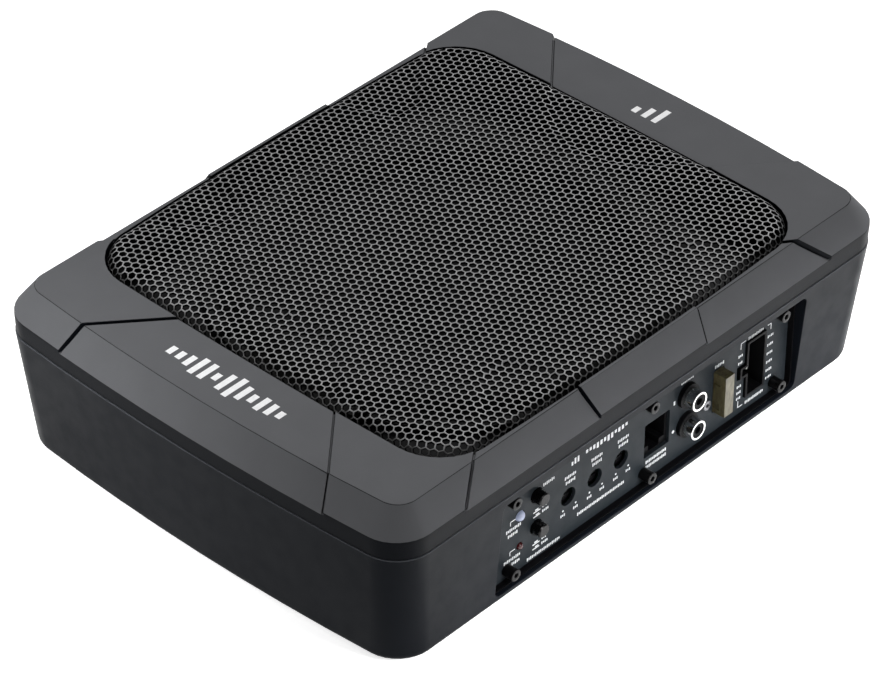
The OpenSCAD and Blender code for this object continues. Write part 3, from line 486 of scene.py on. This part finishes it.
def soften(piece, radius):
    """Joins split vertices, rounds the sharp edges a little and shades the rest smooth."""
    weld = piece.modifiers.new("weld", "WELD")
    weld.merge_threshold = WELD_DISTANCE * MM
    bevel = piece.modifiers.new("edge", "BEVEL")
    bevel.width = radius * MM
    bevel.segments = 2
    bevel.limit_method = "ANGLE"
    bevel.angle_limit = CRISP_ANGLE
    bevel.use_clamp_overlap = radius < FULL_EDGE_FROM
    bevel.miter_outer = "MITER_ARC"
    piece.modifiers.new("crisp", "NODES").node_group = CRISP
    flat = piece.modifiers.new("flat_faces", "WEIGHTED_NORMAL")
    flat.keep_sharp = True
    flat.weight = 100


def dress_cad_nodes():
    """Gives every CAD node its material and a small machined or moulded edge."""
    slots = {part["node"]: part["material_slot"] for part in frame["record"]["subparts"]}
    for name, node in NODES.items():
        mesh = node.data
        mesh.materials.clear()
        mesh.materials.append(MATERIALS[slots[name]])
        for layer in ("custom_normal", "sharp_edge", "sharp_face"):
            if layer in mesh.attributes:
                mesh.attributes.remove(mesh.attributes[layer])
        mesh.polygons.foreach_set("use_smooth", [True] * len(mesh.polygons))
        soften(node, EDGE_RADIUS.get(name, SMALL_EDGE_RADIUS))


# ---- grille: a stamped sheet with a hexagonal perforation ----

HOLE_PITCH = 3.36
WEB = 0.58
WEB_LIP = 0.22              # how far the front edge of a hole is rounded off, across and down
WEB_LIP_DROP = 0.13
WEB_BACK = 0.2              # thickness of the sloped back of a web
SHEET_REACH = 4.6           # how far the flat sheet runs past the grille's outline before it is bent
CROWN_REACH = 34.5          # the dome rises over this much of the way in from the rolled edge
ARC_POINTS = 24
SIDE_POINTS = 16


def rounded_points(x, y, r, arc, side):
    """Counterclockwise points of a rounded rectangle with half sizes x and y."""
    points = []
    centres = ((x - r, y - r), (r - x, y - r), (r - x, r - y), (x - r, r - y))
    for quarter, (cx, cy) in enumerate(centres):
        for i in range(arc + 1):
            a = math.pi / 2 * (quarter + i / arc)
            points.append((cx + r * math.cos(a), cy + r * math.sin(a)))
        ends = {0: ((x - r, y), (r - x, y)), 1: ((-x, y - r), (-x, r - y)),
                2: ((r - x, -y), (x - r, -y)), 3: ((x, r - y), (x, y - r))}[quarter]
        for i in range(1, side):
            t = i / side
            points.append(tuple(a + (b - a) * t for a, b in zip(*ends)))
    return np.array(points)


def bowed(points, x, y, bx, by):
    """The same points with their sides bowed outward by bx and by; x and y include the bows."""
    px, py = points[:, 0], points[:, 1]
    return np.stack([px * (1 + bx / (x - bx) * (1 - (py / (y - by)) ** 2)),
                     py * (1 + by / (y - by) * (1 - (px / (x - bx)) ** 2))], 1)


def grille_outline(inset=0.0):
    """The grille's outline seen from above, or one further in."""
    x = OPENING_X - GRILLE_GAP - inset
    y = OPENING_Y - GRILLE_GAP - inset
    r = OPENING_R - GRILLE_GAP - inset
    straight = rounded_points(x - OPENING_BOW_X, y - OPENING_BOW_Y, r, ARC_POINTS, SIDE_POINTS)
    return bowed(straight, x, y, OPENING_BOW_X, OPENING_BOW_Y)


def nearest_on(loop, points):
    """Signed distance (outside positive), nearest point and outward normal on a closed loop."""
    a, b = loop, np.roll(loop, -1, 0)
    edge = b - a
    length2 = (edge ** 2).sum(1)
    normal = np.stack([edge[:, 1], -edge[:, 0]], 1) / np.sqrt(length2)[:, None]
    best = np.full(len(points), 1e9)
    foot = np.zeros((len(points), 2))
    out = np.zeros((len(points), 2))
    side = np.zeros(len(points))
    for k in range(len(loop)):
        d = points - a[k]
        t = np.clip((d @ edge[k]) / length2[k], 0, 1)
        p = a[k] + t[:, None] * edge[k]
        gap = points - p
        dist = np.sqrt((gap ** 2).sum(1))
        closer = dist < best - 1e-9
        best[closer] = dist[closer]
        foot[closer] = p[closer]
        straight = normal[k]
        unit = np.where(dist[:, None] > 1e-6, gap / np.maximum(dist, 1e-9)[:, None], straight)
        sign = np.sign(gap @ straight)
        sign[sign == 0] = 1
        out[closer] = (unit * sign[:, None])[closer]
        side[closer] = sign[closer]
    return best * side, foot, out


# Sunk areas of the sheet in the +X +Y quarter, counterclockwise; they carry on the cover's grooves
SUNK_END = np.array([(130, 0), (120, 53), (105.5, 41.5), (90, 29), (85, 23), (80, 17), (78, 10),
                     (76.6, 5), (76, 0)], float)
SUNK_SIDE = np.array([(33, 120), (34, 95), (36, 86), (38, 79), (40, 73), (43, 68), (56, 68), (60, 72),
                      (66, 78), (72, 83), (85, 93), (110, 120)], float)
SUNK_DEPTH = 0.8
SUNK_EDGE = 0.9
SUNK_FADE = 1.1             # the sunk areas fade out over this many widths of the rolled edge


def sunk_share(points):
    """0 on the raised field and 1 in the sunk areas, with a short slope between."""
    quarter = np.abs(points)
    share = np.zeros(len(points))
    for area in (SUNK_END, SUNK_SIDE):
        distance = nearest_on(area, quarter)[0]
        t = np.clip(0.5 - distance / SUNK_EDGE, 0, 1)
        share = np.maximum(share, t * t * (3 - 2 * t))
    return share


def grille_surface(flat, depth):
    """Bends points of the flat sheet over the rolled edge; depth is how far below the outer skin."""
    distance, foot, out = nearest_on(grille_outline(GRILLE_ROLL), flat)
    top = TOP_Z + GRILLE_RISE
    bend_r = GRILLE_ROLL - depth
    angle = np.clip(distance / GRILLE_ROLL, 0, math.pi / 2)
    below = np.maximum(distance - GRILLE_ROLL * math.pi / 2, 0)
    xy = np.where(distance[:, None] > 0, foot + out * (bend_r * np.sin(angle))[:, None], flat)
    crown = GRILLE_CROWN * np.clip(-distance / CROWN_REACH, 0, 1)
    z = top - GRILLE_ROLL + bend_r * np.cos(angle) - below + crown
    fade = np.clip(1 - distance / (GRILLE_ROLL * SUNK_FADE), 0, 1)
    z -= SUNK_DEPTH * sunk_share(flat) * fade
    return np.column_stack([xy, z])


def hexagon(radius):
    turns = [math.pi / 3 * k for k in range(6)]
    return np.array([(radius * math.sin(a), radius * math.cos(a)) for a in turns])


def hole_centres():
    """Centres of the staggered holes, up to SHEET_REACH outside the grille's outline."""
    margin = 10
    row_pitch = HOLE_PITCH * math.sqrt(3) / 2
    rows = int((OPENING_Y + margin) / row_pitch)
    columns = int((OPENING_X + margin) / HOLE_PITCH)
    centres = np.array([((i + 0.5 * (j % 2)) * HOLE_PITCH, j * row_pitch)
                        for j in range(-rows, rows + 1) for i in range(-columns - 1, columns + 1)])
    return centres[nearest_on(grille_outline(), centres)[0] < SHEET_REACH]


def perforated_sheet(name):
    """Every cell is a ring of six webs round a hole, joined to its neighbours, skinned all round."""
    centres = hole_centres()
    count = len(centres)
    cell = hexagon(HOLE_PITCH / math.sqrt(3))
    hole_r = (HOLE_PITCH - WEB) / math.sqrt(3)
    hole = hexagon(hole_r)
    front = ((cell, 0.0), (hexagon(hole_r + WEB_LIP), 0.0))
    bore = ((hole, WEB_LIP_DROP), (hole, GRILLE_T - WEB_BACK), (cell, GRILLE_T))
    loops = front + bore
    verts, faces = [], []
    for ring, depth in loops:
        flat = (centres[:, None, :] + ring[None, :, :]).reshape(-1, 2)
        verts.append(grille_surface(flat, depth))
    for n in range(count):
        for level in range(len(loops) - 1):
            here = level * count * 6 + n * 6
            there = here + count * 6
            for k in range(6):
                following = (k + 1) % 6
                faces.append((here + k, there + k, there + following, here + following))
    sheet = mesh_piece(name, np.concatenate(verts), faces, slot="grille_steel")
    # painted shade: the hole walls and the webs' backs take the near-black bore material
    sheet.data.materials.append(BORE_PAINTED_SHADE)
    faces_per_cell = 6 * (len(loops) - 1)
    front_faces = 6 * len(front)
    bore_shade_slots = [int(i % faces_per_cell >= front_faces) for i in range(len(faces))]
    sheet.data.polygons.foreach_set("material_index", bore_shade_slots)
    merge_doubles(sheet, 0.02)
    return sheet


def merge_doubles(piece, distance):
    """Joins vertices closer than a distance in millimetres and turns the faces outward."""
    work = bmesh.new()
    work.from_mesh(piece.data)
    bmesh.ops.remove_doubles(work, verts=work.verts, dist=distance * MM)
    bmesh.ops.recalc_face_normals(work, faces=work.faces)
    work.to_mesh(piece.data)
    work.free()
    piece.data.update()


def make_grille():
    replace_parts(perforated_sheet("grille_mesh"), "grille")


# ---- surround and spider: rings between the frame and the cone, built in sectors ----

SECTORS = 12
SECTOR_STEPS = 8


def surround_profile():
    """Closed outline of the half-roll, radius and height, from the cone's rim out to the frame."""
    thick = 0.8
    roll_r = 7.0
    inside_r = roll_r - thick
    roll_x = 79.0
    lip_r = 67.5
    lip_z = CONE_RIM_Z + 1.1
    over_z = lip_z + 0.24
    foot_r = 87
    outer_r = 90.0
    foot_t = 1.2
    steps = 20
    turns = [math.pi * (1 - i / steps) for i in range(steps + 1)]
    under = [(roll_x + inside_r * math.cos(a), lip_z + inside_r * math.sin(a)) for a in turns]
    over = [(roll_x + roll_r * math.cos(a), over_z + roll_r * math.sin(a)) for a in reversed(turns)]
    foot = [(foot_r, FRAME_LIP_Z), (outer_r, FRAME_LIP_Z), (outer_r, FRAME_LIP_Z + foot_t)]
    return [(lip_r, lip_z)] + under + foot + over + [(lip_r, lip_z + thick)]


def spider_profile():
    """Closed outline of the corrugated spider, from the coil former out to the frame's ledge."""
    thick = 0.6
    waves = 5
    height = 1.3
    steps = 60
    span = SPIDER_R - FORMER_R
    lower = []
    for i in range(steps + 1):
        r = FORMER_R + span * i / steps
        phase = 2 * math.pi * waves * (SPIDER_R - r) / span
        lower.append((r, SPIDER_Z + height * (1 - math.cos(phase)) / 2))
    return lower + [(r, z + thick) for r, z in reversed(lower)]


def flexing_ring(node, slot, profile):
    """Sectors of a ring from the cone out to the frame, in place of a CAD node."""
    half = math.pi / SECTORS
    count = len(profile)
    for k in range(SECTORS):
        middle = 2 * half * k
        turns = [middle - half + 2 * half * i / SECTOR_STEPS for i in range(SECTOR_STEPS + 1)]
        verts = [(r * math.cos(a), r * math.sin(a), z) for a in turns for r, z in profile]
        faces = []
        for i in range(SECTOR_STEPS):
            for j in range(count):
                here = i * count + j
                following = i * count + (j + 1) % count
                faces.append((here, here + count, following + count, following))
        sector = mesh_piece(f"{node}_{k + 1:02d}", verts, faces, body=None, slot=slot)
        merge_doubles(sector, 0.001)
        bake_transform(sector)
        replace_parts(sector, node)


def make_soft_rings():
    flexing_ring("surround", "rubber", surround_profile())
    flexing_ring("spider", "spider_cloth", spider_profile())


# ---- printed marks: plain symbols and dashes, no lettering ----

PRINT_T = 0.05
SMALL = 1.2                 # height of the smaller dashes
FINE = 0.35                 # width of the pointer lines
LAMP_X = -65.0
POWER_Z = 31.2
PROTECT_Z = 16.7
BUTTON_X = -56.0
PHASE_Z = 26.4
AUTO_POWER_Z = 10.8
BARS_Z = 40.2
HEADER_TOP = 40.0
HEADER_FOOT = 8.6


def bar(u0, v0, u1, v1):
    """An upright rectangle from its lower left to its upper right corner."""
    return [(u0, v0), (u1, v0), (u1, v1), (u0, v1)]


def stroke(start, end, width):
    """One straight line of a given width between two points."""
    start, end = Vector(start), Vector(end)
    along = end - start
    side = Vector((-along.y, along.x)).normalized() * width / 2
    return [tuple(start - side), tuple(end - side), tuple(end + side), tuple(start + side)]


def bent(*points):
    """A fine line through several points."""
    return [stroke(start, end, FINE) for start, end in zip(points, points[1:])]


def disc(u, v, radius, sides=16):
    turns = [2 * math.pi * i / sides for i in range(sides)]
    return [(u + radius * math.cos(a), v + radius * math.sin(a)) for a in turns]


def dashes(u0, u1, v, height=1.5):
    """A row of short upright strokes of uneven height, filling u0 to u1."""
    width = 0.55
    gap = 0.38
    heights = (1.0, 0.72, 1.0, 0.86, 0.66)
    count = int((u1 - u0 + gap) / (width + gap))
    rows = []
    for i in range(count):
        u = u0 + i * (width + gap)
        half = height * heights[i % len(heights)] / 2
        rows.append(bar(u, v - half, u + width, v + half))
    return rows


def level_bars(u0, u1, v, height, width, count):
    """Upright bars whose heights swell and fall, like a sound level."""
    marks = []
    lowest = 0.28
    swells = 3.5
    for i in range(count):
        t = (i + 0.5) / count
        swell = abs(math.sin(math.pi * t) * math.cos(swells * math.pi * t))
        half = height / 2 * (lowest + (1 - lowest) * swell)
        u = u0 + (u1 - u0) * t
        marks.append(bar(u - width / 2, v - half, u + width / 2, v + half))
    return marks


def rising_bars(u0, u1, v, height, width):
    """Three upright bars, each taller than the last."""
    marks = []
    for i, share in enumerate((0.4, 0.7, 1.0)):
        u = u0 + (u1 - u0 - width) * i / 2
        marks.append(bar(u, v - height / 2, u + width, v + height * (share - 0.5)))
    return marks


def printed(name, marks, place, ink):
    """A thin solid for every mark; place turns (u, v, height above the surface) into x, y, z."""
    verts, faces = [], []
    for mark in marks:
        n = len(mark)
        lower = len(verts)
        upper = lower + n
        for height in (-PRINT_T, PRINT_T):
            verts += [place(u, v, height) for u, v in mark]
        faces += [tuple(lower + i for i in range(n)), tuple(upper + i for i in range(n))]
        for i in range(n):
            following = (i + 1) % n
            faces.append((lower + i, lower + following, upper + following, upper + i))
    piece = mesh_piece(name, verts, faces, smooth=False)
    piece.data.materials.append(ink)
    merge_doubles(piece, 0.0005)


def indicator_marks(x, z, rows):
    """Pointer from the left to an indicator, with two short rows under it."""
    marks = bent((x - 5.3, z - 1.7), (x - 5.3, z + 0.1), (x - 2.6, z + 0.1))
    for (u0, u1), v in zip(rows, (z - 3.8, z - 6.4)):
        marks += dashes(u0, u1, v)
    return marks


def switch_marks(x, z, label):
    """In and out symbols of a push switch; label is where its row of dashes runs: u0, u1 and v."""
    marks = [bar(x - 0.6, z + 1.9, x + 1.2, z + 2.6), bar(x - 1.6, z + 1.2, x + 2.2, z + 1.7),
             bar(x - 0.2, z - 0.3, x + 1.6, z + 0.2), bar(x - 1.6, z - 1.0, x + 2.2, z - 0.5)]
    marks += dashes(x + 3.4, x + 6.4, z + 2.0, SMALL) + dashes(x + 3.4, x + 6.8, z - 0.4, SMALL)
    return marks + dashes(*label)


def trimmer_marks(x):
    """Two rows over a trimmer, and a dot with a short row at each end of its turn."""
    marks = dashes(x - 2.2, x + 4.4, 33.8) + dashes(x - 1.6, x + 3.8, 31.2)
    for side in (-1, 1):
        u = x + 0.8 + side * 3.6
        marks.append(disc(u, 18.7, 0.42))
        marks += dashes(u - 1.3, u + 1.6, 16.6, SMALL)
    return marks


def header_marks():
    """Rows over and under the header, joined to its two columns of short rows by corner lines."""
    marks = dashes(66.0, 75.0, HEADER_TOP) + dashes(66.0, 77.2, HEADER_FOOT)
    marks += bent((61.6, 37.2), (61.6, HEADER_TOP), (64.4, HEADER_TOP))
    marks += bent((61.6, 11.8), (61.6, HEADER_FOOT), (64.4, HEADER_FOOT))
    marks += bent((77.6, HEADER_TOP), (79.6, HEADER_TOP), (79.6, 37.2))
    for v in (34.0, 30.6, 19.0, 16.0, 13.2):
        marks += dashes(60.4, 63.6, v, SMALL)
    for v in (34.0, 29.8, 25.6, 21.4, 17.3, 13.6):
        marks += dashes(78.0, 81.6, v, SMALL)
    return marks


def socket_marks():
    """Rows by the remote jack, the phono sockets and the fuse, and a bar and a dot for the channels."""
    marks = dashes(6.8, 18.6, 13.7) + dashes(6.8, 18.6, 11.2)
    marks += dashes(26.2, 34.0, 40.8) + [bar(22.0, 32.6, 22.9, 34.4), disc(22.4, 19.6, 0.7)]
    return marks + dashes(46.2, 52.0, 37.2)


def make_panel_print():
    """Everything printed on the control panel, from left to right."""
    marks = indicator_marks(LAMP_X, POWER_Z, ((-72.6, -64.2), (-71.6, -65.8)))
    marks += indicator_marks(LAMP_X, PROTECT_Z, ((-73.6, -64.2), (-69.2, -64.6)))
    marks += switch_marks(BUTTON_X, PHASE_Z, (-52.4, -45.8, 38.4))
    marks += switch_marks(BUTTON_X, AUTO_POWER_Z, (-60.6, -42.0, 6.9))
    for x in TRIMMER_X:
        marks += trimmer_marks(x)
    marks += rising_bars(-36.6, -32.4, BARS_Z, 4.2, 0.85)
    marks += level_bars(-29, -4.6, BARS_Z, 4.6, 1.15, 12)
    marks += dashes(-32.5, -5.5, 12.0)
    marks += socket_marks() + header_marks()
    printed("panel_print", marks, lambda u, v, h: (u, PANEL_Y - h, v + FOOT), PANEL_INK)


def make_cover_print():
    """Sound-level bars on the near end and three rising bars on the far end."""
    top = TOP_Z - STEP_H
    near_x = -120
    far_x = 119
    bars = level_bars(-31, 30, 0, 13.0, 2.6, 13)
    printed("cover_print_left", bars, lambda u, v, h: (near_x + v, -u, top + h), COVER_INK)
    steps = rising_bars(-6.5, 6.5, 0, 10.0, 2.6)
    printed("cover_print_right", steps, lambda u, v, h: (far_x + v, -u, top + h), COVER_INK)


# ---- stage ----

FLOOR_HALF = 6.0
FLOOR_GLOW = 0.70
WORLD_LEVEL = 0.12


def area_light(name, place, target, size, power, spread=180):
    """A rectangle of light at a place in metres, aimed at a target, with its spread in degrees."""
    data = bpy.data.lights.new(name, "AREA")
    data.shape = "RECTANGLE"
    data.size, data.size_y = size
    data.energy = power
    data.spread = math.radians(spread)
    light = bpy.data.objects.new(name, data)
    light.location = place
    light.visible_camera = False
    light.rotation_mode = "QUATERNION"
    light.rotation_quaternion = (Vector(target) - Vector(place)).to_track_quat("-Z", "Y")
    bpy.context.scene.collection.objects.link(light)


def make_floor():
    """A pale floor with a faint paper grain, which glows a little so that it comes out white."""
    corners = [(x * FLOOR_HALF, y * FLOOR_HALF, 0) for x, y in ((-1, -1), (1, -1), (1, 1), (-1, 1))]
    mesh = bpy.data.meshes.new("floor")
    mesh.from_pydata(corners, [], [(0, 1, 2, 3)])
    floor = bpy.data.objects.new("floor", mesh)
    bpy.context.scene.collection.objects.link(floor)
    paper = Shader("floor_paper", (0.93, 0.93, 0.93), 0.9, specular=0.1)
    paper.tint(paper.noise(per_mm(60), 3), 0.01)
    paper.set("Emission Color", (1, 1, 1, 1))
    paper.set("Emission Strength", FLOOR_GLOW)
    mesh.materials.append(paper.material)


def make_world():
    """A weak, even white all round."""
    world = bpy.data.worlds.new("studio")
    world.use_nodes = True
    background = world.node_tree.nodes["Background"]
    background.inputs["Color"].default_value = (1, 1, 1, 1)
    background.inputs["Strength"].default_value = WORLD_LEVEL
    bpy.context.scene.world = world
    bpy.context.scene.view_settings.view_transform = "Standard"


def make_lights():
    """A large lamp high beyond the right end, and weak ones by the left end and the panel side."""
    area_light("overhead", (1.3, 0.35, 1.4), (0, 0, 0.04), (1.3, 1.3), 30)
    area_light("left_glow", (-0.42, 0.34, 0.12), (-0.16, 0.10, 0.06), (0.24, 0.12), 0.15)
    area_light("left_strip", (-0.34, 0.10, 0.14), (-0.19, 0.08, 0), (0.10, 0.26), 0.15, spread=80)
    area_light("near_fill", (-0.15, -0.30, 0.8), (-0.15, -0.26, 0), (0.4, 0.4), 0.22, spread=56)
    area_light("front_strip", (0.06, -0.27, 0.10), (0.06, -0.16, 0), (0.34, 0.05), 0.42, spread=56)


def make_camera():
    """Long lens from the front left corner, looking down on the panel side."""
    azimuth = math.radians(-47.586)
    elevation = math.radians(37.925)
    roll = math.radians(0.5915)
    distance = 1764.6 * MM
    target = Vector((-11.74, -10.66, 36.85 + FOOT)) * MM
    back = Vector((math.sin(azimuth) * math.cos(elevation), -math.cos(azimuth) * math.cos(elevation),
                   math.sin(elevation)))
    right = Vector((math.cos(azimuth), math.sin(azimuth), 0))
    up = back.cross(right)
    tilted_right = math.cos(roll) * right + math.sin(roll) * up
    tilted_up = back.cross(tilted_right)
    data = bpy.data.cameras.new("camera")
    data.sensor_width = 36
    data.lens = 184.45
    data.clip_start = 0.1
    data.clip_end = 50
    camera = bpy.data.objects.new("camera", data)
    turn = Matrix((tilted_right, tilted_up, back)).transposed()
    camera.matrix_world = Matrix.Translation(target + back * distance) @ turn.to_4x4()
    bpy.context.scene.collection.objects.link(camera)
    bpy.context.scene.camera = camera


dress_cad_nodes()
make_grille()
make_soft_rings()
make_panel_print()
make_cover_print()
make_floor()
make_world()
make_lights()
make_camera()
